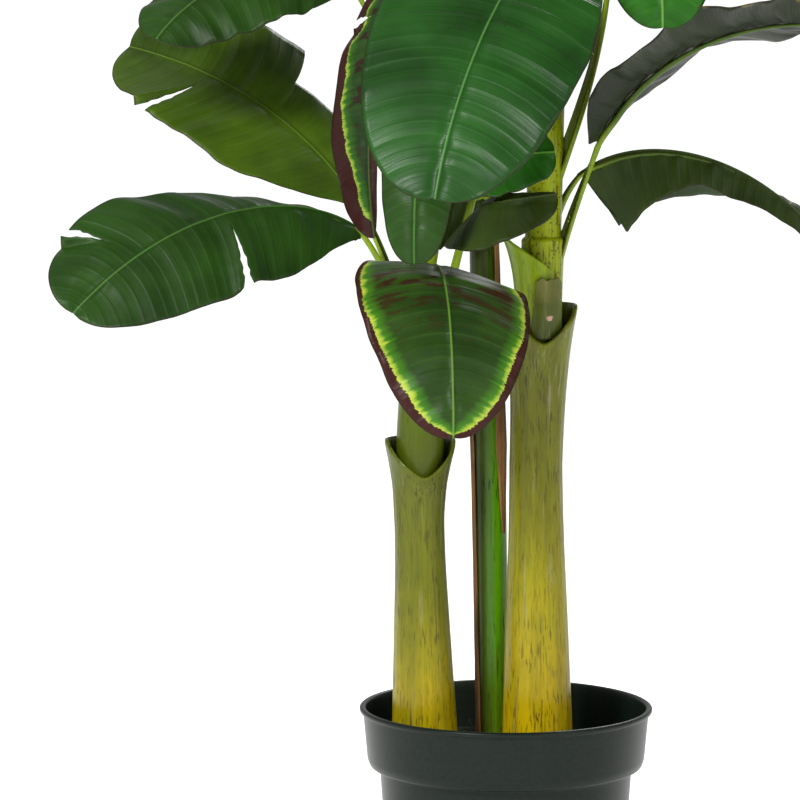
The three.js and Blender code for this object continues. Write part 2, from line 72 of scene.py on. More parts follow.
# on, at     the stem and the height at which the stalk leaves it
# heading    compass of the leaf seen from above, 0 = +X and 90 = +Y: at the stem, at the blade's foot, at
#            its tip
# rise       slope above the horizon at the same three places
# stalk      length of the stalk; size is the blade's length and width
# bend       under 1 the blade bends over early, over 1 late
# roll       how far the left side is lifted, at the blade's foot and at its tip
# fold       slope of both halves away from the midrib at the same two places
# curl       slope added towards the edges
# point      2 is a round tip, 1.3 a long one
# wave       (height, number) of ripples along the edges
# swell      how far along the blade its left and right side reach their full width
# lobes      (share of the half width, length) of the rounded lobes behind the blade's foot
# tears      (side, 1 left or -1 right, place along the blade, depth, droop of the part beyond it)
# twist      how far the stalk's channel is turned to the right
# trim       (side, from, to, share, ramp): a stretch of one side that narrows over a ramp to a share of its
#            width
# dye        the upper side's material; the back is leaf_back unless back names another
LEAVES = [
    dict(name="b1", on="b", at=420, heading=(190, 205, 214), rise=(84, 50, -44), stalk=168, size=(280, 142),
         bend=0.5, roll=(-20, -51), fold=(-30, 11), curl=-6, point=2.4, lobes=(0.12, 4), swell=(0.36, 0.78),
         tears=((1, 0.45, 0.8, 3), (-1, 0.76, 0.5, 14)), dye="leaf_green"),
    dict(name="b2", on="b", at=424, heading=(150, 152, 166), rise=(81, 53, 12), stalk=184, size=(252, 166),
         bend=0.9, roll=(-24, -36), fold=(6, 8), curl=-10, point=3, trim=((-1, 0.08, 0.46, 0.55, 0.05),),
         tears=((1, 0.7, 0.75, -8),), dye="leaf_olive"),
    dict(name="b3", on="b", at=464, heading=(290, 281, 274), rise=(80, 62, -88), stalk=74, size=(242, 140),
         bend=0.6, roll=(-12, -3), fold=(-3, -4), curl=-10, point=1.6, dye="leaf_margined"),
    dict(name="b4", on="b", at=436, heading=(-20, 150, 168), rise=(77, 66, -16), stalk=430, size=(340, 140),
         bend=0.8, roll=(0, 0), fold=(-6, -8), curl=-12, point=2, tears=((-1, 0.6, 0.7, 8),),
         dye="leaf_green"),
    dict(name="b5", on="b", at=515, heading=(340, 214, 206), rise=(80, 84, -99), stalk=290, size=(262, 92),
         bend=0.17, roll=(-10, -44), fold=(-5, -5), curl=-12, point=2, trim=((1, -0.1, 1.02, 0.2, 0.05),),
         tears=((-1, 0.32, 0.5, 4),), dye="leaf_plum"),
    dict(name="b6", on="b", at=490, heading=(300, 268, 256), rise=(86, 76, -95), stalk=214, size=(206, 60),
         bend=0.32, roll=(0, 0), fold=(-8, -8), curl=-12, point=4, dye="leaf_green"),
    dict(name="b7", on="b", at=520, heading=(120, 185, 225), rise=(85, 58, -46), stalk=258, size=(200, 118),
         bend=0.5, roll=(-12, -30), fold=(-20, -8), curl=-10, point=1.8, dye="leaf_green"),
    dict(name="a1", on="a", at=512, heading=(-10, -34, -30), rise=(74, 64, -14), stalk=148, size=(280, 118),
         bend=0.75, roll=(10, -26), fold=(6, 4), curl=4, point=1.9, wave=(4, 3), lobes=(0.4, 4), twist=55,
         dye="leaf_dry", back="leaf_dry"),
    dict(name="a2", on="a", at=622, heading=(214, 242, 370), rise=(22, 6, 4), stalk=60, size=(104, 80),
         bend=0.8, roll=(30, 58), fold=(-6, -6), curl=-6, point=1.7, dye="leaf_fresh"),
    dict(name="a3", on="a", at=545, heading=(40, 10, -4), rise=(76, 46, -62), stalk=88, size=(266, 135),
         bend=0.6, roll=(10, 34), fold=(-80, 8), curl=-4, point=2, lobes=(0.9, 14),
         trim=((-1, 0.04, 1.02, 0.35, 0.36),), tears=((1, 0.62, 0.6, 6),), dye="leaf_dark"),
    dict(name="a4", on="a", at=672, heading=(266, 268, 234), rise=(82, 34, -76), stalk=110, size=(384, 168),
         bend=0.8, roll=(0, -30), fold=(2, 2), curl=-6, point=2.8, swell=(0.66, 0.36), dye="leaf_blue"),
    dict(name="a5", on="a", at=600, heading=(-12, -62, -86), rise=(69, 88, -88), stalk=222, size=(184, 92),
         bend=0.5, roll=(0, 0), fold=(2, 2), curl=-10, point=2.6, twist=60, dye="leaf_fresh"),
    dict(name="a6", on="a", at=745, heading=(50, 50, 40), rise=(80, 55, -20), stalk=120, size=(340, 140),
         bend=0.8, roll=(10, 10), fold=(-6, -6), curl=-12, point=2, dye="leaf_green"),
    dict(name="a7", on="a", at=582, heading=(214, 236, 368), rise=(24, 5, 9), stalk=60, size=(128, 90),
         bend=0.8, roll=(36, 58), fold=(-6, -6), curl=-6, point=1.35, trim=((1, -0.1, 1.02, 0.25, 0.05),),
         dye="leaf_dark"),
    dict(name="c1", on="c", at=610, heading=(110, 108, 104), rise=(86, 66, -6), stalk=205, size=(360, 145),
         bend=0.8, roll=(0, 0), fold=(-6, -6), curl=-12, point=2, tears=((1, 0.5, 0.7, 8),),
         dye="leaf_green"),
    dict(name="c2", on="c", at=566, heading=(334, 182, 168), rise=(72, 12, -20), stalk=56, size=(60, 90),
         bend=0.8, roll=(0, 0), fold=(-80, -80), curl=-2, point=2.6, lobes=(0.8, 8),
         trim=((-1, -0.1, 1.02, 0.2, 0.05),), dye="leaf_dark"),
    dict(name="t1", on="a", at=800, heading=(140, 135, 130), rise=(82, 60, -30), stalk=170, size=(430, 165),
         bend=0.9, roll=(0, 0), fold=(-4, -6), curl=-14, point=2, tears=((1, 0.55, 0.7, 8),),
         dye="leaf_green"),
    dict(name="t2", on="a", at=830, heading=(15, 12, 8), rise=(82, 56, -34), stalk=160, size=(430, 165),
         bend=0.9, roll=(0, 8), fold=(-4, -6), curl=-14, point=2, tears=((-1, 0.6, 0.7, 8),),
         dye="leaf_blue"),
    dict(name="t3", on="a", at=860, heading=(290, 285, 280), rise=(82, 60, -40), stalk=150, size=(430, 165),
         bend=0.9, roll=(0, 0), fold=(-4, -6), curl=-14, point=2, tears=((1, 0.5, 0.7, 8),),
         dye="leaf_green"),
    dict(name="t4", on="a", at=890, heading=(215, 205, 196), rise=(84, 66, -14), stalk=160, size=(440, 170),
         bend=0.9, roll=(0, -8), fold=(-4, -6), curl=-14, point=2, tears=((-1, 0.62, 0.7, 8),),
         dye="leaf_blue"),
    dict(name="t5", on="a", at=905, heading=(80, 76, 70), rise=(72, 68, 0), stalk=160, size=(440, 165),
         bend=1.1, roll=(0, 0), fold=(-4, -6), curl=-14, point=2, dye="leaf_green"),
    dict(name="t6", on="a", at=930, heading=(-26, -26, -32), rise=(70, 72, 18), stalk=150, size=(420, 155),
         bend=1.2, roll=(0, 0), fold=(0, -4), curl=-12, point=2, dye="leaf_fresh"),
]


# ---- colours and materials ---------------------------------------------------------------------------------
SHEEN = 0.16
CUT_EDGE = "#241a0e"
STEM_SHADE = "#39400f"


def linear(text):
    """The linear colour of a six-digit sRGB one."""
    parts = [int(text[i : i + 2], 16) / 255 for i in (1, 3, 5)]
    return [p / 12.92 if p <= 0.04045 else ((p + 0.055) / 1.055) ** 2.4 for p in parts] + [1.0]


def put(tree, kind, inputs=None, stops=(), **settings):
    """Adds a shader node. Inputs are values, colours as text, nodes, or (node, output); stops fill a ramp."""
    made = tree.nodes.new("ShaderNode" + kind)
    for key, value in settings.items():
        setattr(made, key, value)
    for i, (at, colour) in enumerate(stops):
        stop = made.color_ramp.elements[i] if i < 2 else made.color_ramp.elements.new(at)
        stop.position = at
        stop.color = linear(colour)
    for key, value in (inputs or {}).items():
        socket = next(s for s in made.inputs if s.identifier == key)
        if isinstance(value, bpy.types.Node):
            tree.links.new(next(o for o in value.outputs if o.enabled), socket)
        elif isinstance(value, tuple) and isinstance(value[0], bpy.types.Node):
            tree.links.new(value[0].outputs[value[1]], socket)
        else:
            socket.default_value = linear(value) if isinstance(value, str) else value
    return made


def material(name):
    made = bpy.data.materials.new(name)
    made.use_nodes = True
    made.node_tree.nodes.clear()
    return made, made.node_tree


def finish(tree, colour, roughness, bump=None, depth=0.0, extra=None):
    """The shader and output that end every material here. Depth is the bump's real height in millimetres."""
    inputs = {"Base Color": colour, "Roughness": roughness, "Specular IOR Level": SHEEN, **(extra or {})}
    if bump:
        inputs["Normal"] = put(tree, "Bump", {"Height": bump, "Distance": depth * MM, "Strength": 1.0})
    shader = put(tree, "BsdfPrincipled", inputs)
    put(tree, "OutputMaterial", {"Surface": shader})


def blend(tree, factor, low, high):
    inputs = {"Factor_Float": factor, "A_Color": low, "B_Color": high}
    return put(tree, "Mix", inputs, data_type="RGBA")


def band(tree, value, low, high, to_low=0.0, to_high=1.0):
    """A value clamped between low and high, spread from to_low to to_high."""
    spans = {"From Min": low, "From Max": high, "To Min": to_low, "To Max": to_high}
    return put(tree, "MapRange", {"Value": value, **spans})


def sums(tree, operation, first, second=0.0):
    return put(tree, "Math", {"Value": first, "Value_001": second}, operation=operation)


def plus(tree, first, second):
    return sums(tree, "ADD", first, second)


def times(tree, first, second):
    return sums(tree, "MULTIPLY", first, second)


def swing(tree, noise, reach):
    """A noise centred on nothing and spread over a reach in metres."""
    return times(tree, sums(tree, "SUBTRACT", noise, 0.5), reach)


def drawn_out(tree, at, shares):
    """Places squeezed along the axes that a pattern is drawn out along."""
    return put(tree, "VectorMath", {"Vector": at, "Vector_001": shares}, operation="MULTIPLY")


def per(size):
    """The scale of a noise whose features are this many millimetres across."""
    return 1000 / size


def grain(tree, at, size, detail=3, roughness=0.6):
    inputs = {"Vector": at, "Scale": per(size), "Detail": detail, "Roughness": roughness}
    return put(tree, "TexNoise", inputs)


def dry_edge(tree, colour, place, short, tints):
    """Straw and then brown blots that creep in from the edge, further in towards the tip."""
    reach = plus(tree, (place, "Z"), times(tree, grain(tree, short, 17, 4), -0.05))
    reach = plus(tree, reach, band(tree, (place, "X"), 0.05, 0.26, 0.018, 0))
    colour = blend(tree, band(tree, reach, -0.017, -0.024), colour, tints[0])
    return blend(tree, band(tree, reach, -0.0225, -0.0265), colour, tints[1])


def ragged_margin(tree, colour, place, drawn, short, strips, cloud, margin):
    """A dark edge with a bright band inside it, and stains over the blade until a distance from its foot."""
    wide, until = margin["wide"], margin["until"]
    teeth = swing(tree, grain(tree, drawn, 1.9, 3, 0.7), 0.006)
    outer = plus(tree, (place, "Z"), plus(tree, teeth, swing(tree, cloud, margin["wander"])))
    inner = plus(tree, outer, swing(tree, strips, 0.012))
    blots = band(tree, grain(tree, short, 9.5), 0.535, 0.555)
    stain = times(tree, blots, band(tree, (place, "X"), until + 0.02, until - 0.05))
    colour = blend(tree, times(tree, stain, 0.9), colour, margin["stain"])
    colour = blend(tree, band(tree, inner, wide + 0.012, wide + 0.002, 0, 0.9), colour, margin["edge_band"])
    colour = blend(tree, band(tree, inner, wide + 0.0045, wide + 0.0005), colour, margin["band"])
    return blend(tree, band(tree, outer, wide + 0.0004, wide), colour, margin["edge"])


def leaf_material(name, deep, bright, crest, rib, rough=0.42, margin=None, dry=None):
    """Printed polyester leaf with painted shade by the midrib. leaf_at holds metres along the midrib, out from
    it, and in from the edge.
    """
    made, tree = material(name)
    at = (put(tree, "Attribute", attribute_name="leaf_at"), "Vector")
    place = put(tree, "SeparateXYZ", {"Vector": at})
    # fine threads run with the side veins
    drawn = drawn_out(tree, at, (1, 0.035, 0))
    short = drawn_out(tree, at, (1, 0.3, 0))
    threads = grain(tree, drawn, 1.1)
    strips = grain(tree, drawn, 5.2, 2, 0.5)
    cloud = grain(tree, (put(tree, "TexCoord"), "Object"), 77, 3, 0.55)
    tone = plus(tree, times(tree, band(tree, cloud, 0.35, 0.65), 0.65), times(tree, strips, 0.35))
    colour = blend(tree, tone, deep, bright)
    wave = sums(tree, "COSINE", times(tree, (place, "X"), math.pi * per(VEIN)))
    veins = sums(tree, "POWER", times(tree, wave, wave), 12.0)
    faint = times(tree, veins, band(tree, strips, 0.4, 0.62, 0.0, 0.14))
    colour = blend(tree, faint, colour, crest)
    colour = blend(tree, band(tree, threads, 0.35, 0.7, 0, 0.3), colour, deep)
    if dry:
        colour = dry_edge(tree, colour, place, short, dry)
    if margin:
        colour = ragged_margin(tree, colour, place, drawn, short, strips, cloud, margin)
    colour = blend(tree, band(tree, (place, "Z"), 0.0013, 0.0005, 0, 0.6), colour, CUT_EDGE)
    off = sums(tree, "ABSOLUTE", (place, "Y"))
    # painted shade: the deep tint darkens the pressed hollows either side of the midrib
    colour = blend(tree, band(tree, off, 0.0032, 0.0014, 0, 0.4), colour, deep)
    colour = blend(tree, band(tree, off, 0.0011, 0.0004, 0, 0.75), colour, rib)
    height = plus(tree, times(tree, threads, 0.45), times(tree, strips, 0.9))
    height = plus(tree, height, times(tree, veins, 0.35))
    finish(tree, colour, band(tree, threads, 0.3, 0.7, rough - 0.05, rough + 0.1), height, 0.4)
    return made


def channel_tint(tree, colour, cloud, tints):
    """A stalk's tints: leaf_at holds metres along the blade above it, and its two places round the stalk."""
    place = put(tree, "SeparateXYZ", {"Vector": (put(tree, "Attribute", attribute_name="leaf_at"), "Vector")})
    groove, lip, rib = tints
    over = (place, "Z")
    colour = blend(tree, band(tree, (place, "X"), 0, 0.03, 0, 0.85), colour, rib)
    # painted shade: the groove tint darkens the channel along the stalk's top
    colour = blend(tree, times(tree, band(tree, over, 0.004, 0.0065), 0.75), colour, groove)
    edge = times(tree, band(tree, over, 0.0005, 0.003), band(tree, over, 0.0068, 0.005))
    return blend(tree, times(tree, edge, band(tree, cloud, 0.44, 0.6)), colour, lip)


def stem_material(name, ramp, dash=None, streak=None, speck=None, rough=0.34, side=None, relief=0.35,
                  channel=None):
    """Moulded, hand-tinted polyethylene: a tint that changes with height, with dashes, specks, pale streaks of
    painted sheen and painted shade.

    ramp      (height, tint) up the stem
    dash      tint, noise level at which a dash starts, and its strength
    streak    tint and strength of the pale streaks, which paint a glossy sheen
    side      painted shade down one side: axis, where it starts and where it is full, its strength, and its tint
    side      axis, where a second tint starts and where it is full, its strength, and the tint
    channel   tints of a stalk's groove (painted shade), of the groove's lips, and of the rib under the blade
    """
    made, tree = material(name)
    at = (put(tree, "TexCoord"), "Object")
    place = put(tree, "SeparateXYZ", {"Vector": at})
    low, high = ramp[0][0], ramp[-1][0]
    cloud = grain(tree, at, 45)
    level = band(tree, plus(tree, (place, "Z"), swing(tree, cloud, 0.12)), low * MM, high * MM)
    stops = [((z - low) / (high - low), tint) for z, tint in ramp]
    colour = put(tree, "ValToRGB", {"Fac": level}, stops=stops)
    drawn = drawn_out(tree, at, (1, 1, 0.06))
    fibres = grain(tree, drawn, 1.9, 4)
    broad = grain(tree, drawn, 11, 3, 0.55)
    if side:
        axis, start, end, share, tint = side
        # painted shade darkens the stem towards one side
        colour = blend(tree, band(tree, (place, axis), start * MM, end * MM, 0, share), colour, tint)
    colour = blend(tree, band(tree, broad, 0.4, 0.66, 0, 0.35), colour, STEM_SHADE)
    if dash:
        colour = blend(tree, band(tree, fibres, 0.52, 0.7, 0, 0.32), colour, dash[0])
    # painted sheen: pale streaks stand in for the gloss along the fibres
    if streak:
        colour = blend(tree, band(tree, grain(tree, drawn, 4.8), 0.6, 0.7, 0, streak[1]), colour, streak[0])
    if dash:
        ticks = grain(tree, drawn_out(tree, at, (1, 1, 0.11)), 1.8, 3, 0.55)
        patch = band(tree, grain(tree, at, 33, 2, 0.5), 0.42, 0.62, 0.3, 1)
        share = times(tree, band(tree, ticks, dash[1], dash[1] + 0.05), patch)
        colour = blend(tree, times(tree, share, dash[2]), colour, dash[0])
    if speck:
        dots = put(tree, "TexVoronoi", {"Vector": at, "Scale": per(speck[1]), "Randomness": 1.0})
        colour = blend(tree, band(tree, dots, 0.3, 0.2, 0, speck[2]), colour, speck[0])
    if channel:
        colour = channel_tint(tree, colour, cloud, channel)
    height = plus(tree, times(tree, fibres, 0.6), times(tree, broad, 0.8))
    gloss = band(tree, fibres, 0.3, 0.7, rough - 0.08, rough + 0.1)
    finish(tree, colour, gloss, height, relief, {"Coat Weight": 0.12, "Coat Roughness": 0.12})
    return made


def plain_material(name, low, high, size, rough, relief, stretch=(1, 1, 1)):
    """One tint broken up by noise drawn out along an axis."""
    made, tree = material(name)
    noise = grain(tree, drawn_out(tree, (put(tree, "TexCoord"), "Object"), stretch), size, 4)
    colour = blend(tree, band(tree, noise, 0.35, 0.65), low, high)
    finish(tree, colour, rough, noise if relief else None, relief)
    return made


MATERIALS = {
    # printed polyester cloth, satin
    "leaf_green": leaf_material("polyester_leaf_green", "#122606", "#25480e", "#2f5c20", "#406a26"),
    "leaf_blue": leaf_material("polyester_leaf_deep_green", "#0f2a09", "#215018", "#3a6c30", "#487838",
                               rough=0.36),
    "leaf_fresh": leaf_material("polyester_leaf_fresh", "#143e09", "#2a6a12", "#468428", "#5c902c"),
    "leaf_olive": leaf_material("polyester_leaf_olive", "#24360a", "#47620f", "#4c6a1c", "#5c7824"),
    "leaf_dark": leaf_material("polyester_leaf_dark", "#1c2909", "#324412", "#34481a", "#445424"),
    "leaf_dry": leaf_material("polyester_leaf_dry_edge", "#0f1608", "#1f280c", "#2c3816", "#343f18",
                              dry=("#6c6420", "#40220f")),
    "leaf_margined": leaf_material("polyester_leaf_margined", "#15290a", "#2e4a10", "#3c6a20", "#5a8428",
                                   margin=dict(stain="#2e130c", edge_band="#3c7614", band="#98a838",
                                               edge="#30120d", wide=0.0052, wander=0.012, until=0.15)),
    "leaf_plum": leaf_material("polyester_leaf_plum", "#10200a", "#203e10", "#34501c", "#3c4a20",
                               margin=dict(stain="#25100d", edge_band="#2c5a14", band="#7c9430",
                                           edge="#2b110e", wide=0.0125, wander=0.034, until=0.2)),
    "leaf_back": leaf_material("polyester_leaf_back", "#14260a", "#283e12", "#405c22", "#54702a", rough=0.55),
    # moulded polyethylene, hand tinted
    # the sheaths' pale streaks are painted sheen
    "sheath_a": stem_material("moulded_sheath_tall", [(140, "#c4a400"), (225, "#a08e02"), (320, "#7b7806"),
                                                      (430, "#656808"), (521, "#5e660a")],
                              dash=("#33280a", 0.55, 0.75), streak=("#8c8a6c", 0.45)),
    "sheath_b": stem_material("moulded_sheath_short", [(140, "#bc9e00"), (220, "#8c8202"), (300, "#626404"),
                                                       (412, "#465008")],
                              dash=("#2a280a", 0.56, 0.7), streak=("#80825a", 0.3)),
    "core_a": stem_material("moulded_core_tall", [(470, "#8a9c04"), (600, "#8a9804"), (800, "#6c7e06"),
                                                  (985, "#5f7c10")],
                            dash=("#46340c", 0.55, 0.8), speck=("#40300c", 4.2, 0.7)),
    "core_b": stem_material("moulded_core_short", [(368, "#424c06"), (450, "#465408"), (500, "#5c740a"),
                                                   (600, "#6a900a")],
                            dash=("#2c300a", 0.58, 0.6)),
    # the thin stem's left side is darkened with painted shade
    "slim_stem": stem_material("moulded_slim_stem", [(140, "#5c6c04"), (230, "#549402"), (420, "#4c8402"),
                                                     (480, "#3e6404"), (700, "#567c0c")],
                               dash=("#182408", 0.58, 0.8), side=("X", -7, -19, 0.92, "#2a2e12")),
    # the stalk's first channel tint is painted shade in its groove
    "stalk": stem_material("moulded_stalk", [(400, "#748c04"), (800, "#749006"), (1500, "#5f8a10")],
                           dash=("#3c3010", 0.62, 0.5), rough=0.38, channel=("#2e340e", "#43300f", "#2c4610")),
    "collar": stem_material("moulded_leaf_base", [(490, "#8a9c02"), (580, "#809a04")],
                            dash=("#4a4410", 0.6, 0.5), relief=0.3),
    # its pale streaks are painted sheen
    "snag": stem_material("moulded_leaf_scar", [(480, "#3c480e"), (520, "#4a5218"), (545, "#6a6a34")],
                          streak=("#8a8a58", 0.5), relief=0.6),
    # brown paper-like fibre film on the thin stem
    "husk": plain_material("dried_husk_film", "#2c1c10", "#9a7044", 11, 0.8, 0.4, (1, 1, 0.08)),
    # blow-moulded polypropylene nursery pot
    "pot": plain_material("polypropylene_pot", "#0c140e", "#121b14", 3.3, 0.33, 0.05),
    # set filler stained dark, and the coconut fibre strewn over it
    "casting": plain_material("stained_filler", "#120d08", "#2a2013", 7, 0.95, 2.0),
    "fibre": plain_material("coconut_fibre", "#24160a", "#5c3e22", 17, 0.9, 0),
    "spot": plain_material("pale_scar_spot", "#a88070", "#b89a8a", 5, 0.5, 0),
}


# ---- mesh helpers ------------------------------------------------------------------------------------------
def mix(a, b, t):
    return a + (b - a) * t


def places(bm):
    return np.array([v.co[:] for v in bm.verts])


def write(name, bm, materials, nodes, at=None):
    """Closes a mesh given in millimetres as an object that rides on the plant. at is its leaf_at, if any."""
    bmesh.ops.scale(bm, vec=(MM, MM, MM), verts=bm.verts)
    bm.normal_update()
    for face in bm.faces:
        face.smooth = True
    mesh = bpy.data.meshes.new(name)
    bm.to_mesh(mesh)
    bm.free()
    for key in materials:
        mesh.materials.append(MATERIALS[key])
    if at is not None:
        attribute = mesh.attributes.new("leaf_at", "FLOAT_VECTOR", "POINT")
        attribute.data.foreach_set("vector", (at * MM).astype(np.float32).ravel())
    made = bpy.data.objects.new(name, mesh)
    bpy.context.scene.collection.objects.link(made)
    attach(made, "root")
    if nodes:
        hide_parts(*nodes)
    return made


def move(bm, positions):
    for vert, position in zip(bm.verts, positions):
        vert.co = position


def rod(bm, sides, rings, place):
    """Adds a closed limb. place gives positions from the share along it and the angle round it, as arrays."""
    limb = bmesh.new()
    bmesh.ops.create_cone(limb, cap_ends=True, segments=sides, radius1=1, radius2=1, depth=1)
    uprights = [e for e in limb.edges if abs(e.verts[0].co.z - e.verts[1].co.z) > 0.5]
    bmesh.ops.subdivide_edges(limb, edges=uprights, cuts=rings - 1, use_grid_fill=True)
    co = places(limb)
    share, angle = co[:, 2] + 0.5, np.arctan2(co[:, 1], co[:, 0])
    move(limb, place(share, angle))
    carrier = bpy.data.meshes.new("limb")
    limb.to_mesh(carrier)
    limb.free()
    bm.from_mesh(carrier)
    bpy.data.meshes.remove(carrier)
    return share, angle


def rounded(points, radius, longest):
    """A profile with its corners rounded and its long runs divided."""
    points = [np.array(p, float) for p in points]
    out = [points[0]]
    for before, corner, after in zip(points, points[1:], points[2:]):
        back, on = before - corner, after - corner
        cut = min(radius, 0.45 * np.linalg.norm(back), 0.45 * np.linalg.norm(on))
        start = corner + back / np.linalg.norm(back) * cut
        end = corner + on / np.linalg.norm(on) * cut
        for t in (0, 0.25, 0.5, 0.75, 1):
            out.append((1 - t) ** 2 * start + 2 * t * (1 - t) * corner + t * t * end)
    out.append(points[-1])
    dense = [out[0]]
    for a, b in zip(out, out[1:]):
        count = max(1, math.ceil(np.linalg.norm(b - a) / longest))
        dense += [a + (b - a) * (i + 1) / count for i in range(count)]
    return np.array(dense)


def stem_centre(key, z):
    """Where a stem's centre line is at a height; above the stem it runs straight on."""
    foot, bend, top = STEMS[key]
    xs = [np.interp(z, [foot[2], bend[2], top[2]], [foot[i], bend[i], top[i]]) for i in (0, 1)]
    over = np.maximum(0, z - top[2]) / (top[2] - bend[2])
    return xs[0] + over * (top[0] - bend[0]), xs[1] + over * (top[1] - bend[1])


def off_bearing(angle, bearing):
    """Degrees between angles and a bearing, -180 to 180."""
    return (np.degrees(angle) - bearing + 180) % 360 - 180


def fibre_relief(angle, z, seed, count=14, pitch=30):
    """Lengthwise ridges round a stem, -1 to 1, that drift as they rise."""
    dice = random.Random(seed)
    total = np.zeros_like(z)
    for _ in range(count):
        number, phase, sway = dice.randint(6, 60), dice.uniform(0, TURN), dice.uniform(0.5, 1.5)
        drift = np.sin(z / pitch / dice.uniform(2, 6) + dice.uniform(0, TURN))
        total += np.cos(number * angle + phase + sway * drift)
    return total / math.sqrt(count) / 1.5


def turned(name, profile, sides, key, material_key, nodes, rim=None, stretch=1.0, radius=14, longest=5,
           relief=0.0, shape=None):
    """A profile of (radius, height) turned round a stem's centre line, its rim lowered by rim(angle)."""
    path = rounded(profile, radius, longest)
    top = path[:, 1].max()

    def place(t, angle):
        i = np.clip(np.rint(t * (len(path) - 1)).astype(int), 0, len(path) - 1)
        r, z = path[i, 0].copy(), path[i, 1].copy()
        if relief:
            r += relief * fibre_relief(angle, z, name) * np.clip(r / 4, 0, 1)
        if shape is not None:
            r, z = shape(r, z, angle)
        if rim is not None:
            z = z - rim(angle) * np.clip((z - (top - stretch)) / stretch, 0, 1)
        x, y = stem_centre(key, z) if key else (0, 0)
        return np.stack([x + r * np.cos(angle), y + r * np.sin(angle), z], 1)

    bm = bmesh.new()
    rod(bm, sides, len(path) - 1, place)
    return write(name, bm, [material_key], nodes)


# ---- pot, filling and fibre --------------------------------------------------------------------------------
POT_WALL = [(0.5, 0), (92, 0), (94.2, 3), (103.3, 136), (104, 140), (111.5, 141), (113.8, 147), (117.2, 184),
            (117.6, 185.5), (120, 186), (120.4, 189), (118.4, 190.4), (115.2, 189.6), (114.4, 184),
            (110.8, 150), (101, 139), (91.5, 4), (0.5, 4)]


def filling(t, angle):
    """The first half of the way runs up the pot's wall, the second over the lumpy top to its middle."""
    foot, rim = FILL_RADIUS
    up = t < 0.5
    r = np.where(up, mix(foot, rim, t * 2), rim * 2 * (1 - t))
    lumps = 3 * np.sin(r / 11 + 3 * angle) * np.cos(r / 17 - 2 * angle)
    lumps = lumps + 1.6 * np.sin(r / 4.1 + 9 * angle) + 1.2 * np.cos(r / 2.3 - 14 * angle)
    top = FILL_TOP - 2
    z = np.where(up, mix(FILL_FOOT, top, t * 2), top + lumps * np.clip((rim - r) / 8, 0, 1))
    return np.stack([r * np.cos(angle), r * np.sin(angle), z], 1)


def strand(tuft):
    """The way of one coconut fibre, loose on the filling or, in a tuft, standing up by the stems' feet."""
    reach = (FIBRE_REACH - 1) * math.sqrt(chance.random())
    turn, spin = chance.uniform(0, TURN), chance.uniform(0, TURN)
    length, bow, thick = chance.uniform(14, 46), chance.uniform(-0.6, 0.6), chance.uniform(0.25, 0.6)
    lift, rock = chance.uniform(0.5, 5), chance.uniform(-0.14, 0.22)
    if tuft:
        reach, turn = chance.uniform(14, 36), chance.uniform(2.2, 4.4)
        lift, rock = chance.uniform(5, 14), chance.uniform(0.4, 1.1)

    def place(t, angle):
        s = (t - 0.5) * length
        heading = spin + bow * (t - 0.5) * 2
        x = reach * math.cos(turn) + s * np.cos(heading) + thick * np.cos(angle) * -np.sin(heading)
        y = reach * math.sin(turn) + s * np.sin(heading) + thick * np.cos(angle) * np.cos(heading)
        far = np.maximum(1, np.hypot(x, y) / FIBRE_REACH)
        z = FILL_TOP + lift + abs(s) * rock + thick * np.sin(angle)
        return np.stack([x / far, y / far, z], 1)

    return place


turned("nursery_pot", POT_WALL, 128, None, "pot", ["pot"], radius=2.2, longest=24)

bm = bmesh.new()
rod(bm, 96, 80, filling)
write("set_filling", bm, ["casting"], ["casting"])

bm = bmesh.new()
for count in range(FIBRES):
    rod(bm, 4, 6, strand(count % TUFT == 0))
write("fibre_topping", bm, ["fibre"], [])

# ---- stems -------------------------------------------------------------------------------------------------


def notch(bearing, depth, reach):
    """A rounded V in a rim: how far the rim drops round a stem."""
    def drop(angle):
        away = off_bearing(angle, bearing) / reach
        return depth * np.clip(1.04 - np.sqrt(away**2 + 0.012), 0, 1)
    return drop


def lapped(bearing, lap):
    """The sheath's free edge lapping over itself under the notch."""
    def shape(r, z, angle):
        gap = off_bearing(angle, bearing)
        step = np.clip(gap / 3, 0, 1) * np.clip(1 - gap / 70, 0, 1)
        return r + lap * step * np.clip((z - 150) / 250, 0, 1), z
    return shape


def rolled(r, z, angle):
    """The furled leaf: its free edge winds up the spear."""
    turn = off_bearing(angle - (z - 1000) / 95, 0)
    lip = np.clip(1 - np.abs(turn - 40) / 60, 0, 1) ** 0.5
    return r * (1 + 0.09 * np.clip(z - 1120, 0, 60) / 60 * lip), z


SHEATH_TALL = [(0.5, STEM_FOOT), (29, STEM_FOOT), (28.8, 170), (25.6, 260), (22.6, 330), (21.4, 391),
               (22.2, 440), (24.6, 478), (27.6, 503), (29.2, 513), (30, 518), (29.4, 521), (27.6, 521.6),
               (26, 518), (23.5, 500), (20.6, 478), (20, 470), (0.5, 470)]
SHEATH_SHORT = [(0.5, STEM_FOOT), (27.4, STEM_FOOT), (26.8, 170), (23.2, 250), (20.6, 310), (20.2, 345),
                (22.2, 375), (25.8, 395), (28, 405), (28.9, 409.5), (28.4, 412), (26.8, 412.5), (25.4, 409),
                (23, 392), (20.8, 378), (20.3, 368), (0.5, 368)]
CORE_TALL = [(0.5, 470.4), (17.5, 470.4), (17, 520), (17.3, 570), (17.5, 573), (16.2, 575), (14.6, 576),
             (14, 700), (12, 850), (8, 960), (0.5, 985)]
CORE_SHORT = [(0.5, 368.4), (18.5, 368.4), (19.5, 405), (18, 440), (14, 490), (10, 540), (6, 590), (0.5, 600)]
THIN_STEM = [(0.5, STEM_FOOT), (14, STEM_FOOT), (13.4, 300), (12.6, 500), (10, 640), (5, 695), (0.5, 700)]
SPEAR = [(0.5, 985.4), (6, 985.4), (5, 1110), (9.5, 1190), (11, 1270), (7, 1410), (2, 1492), (0.5, 1500)]

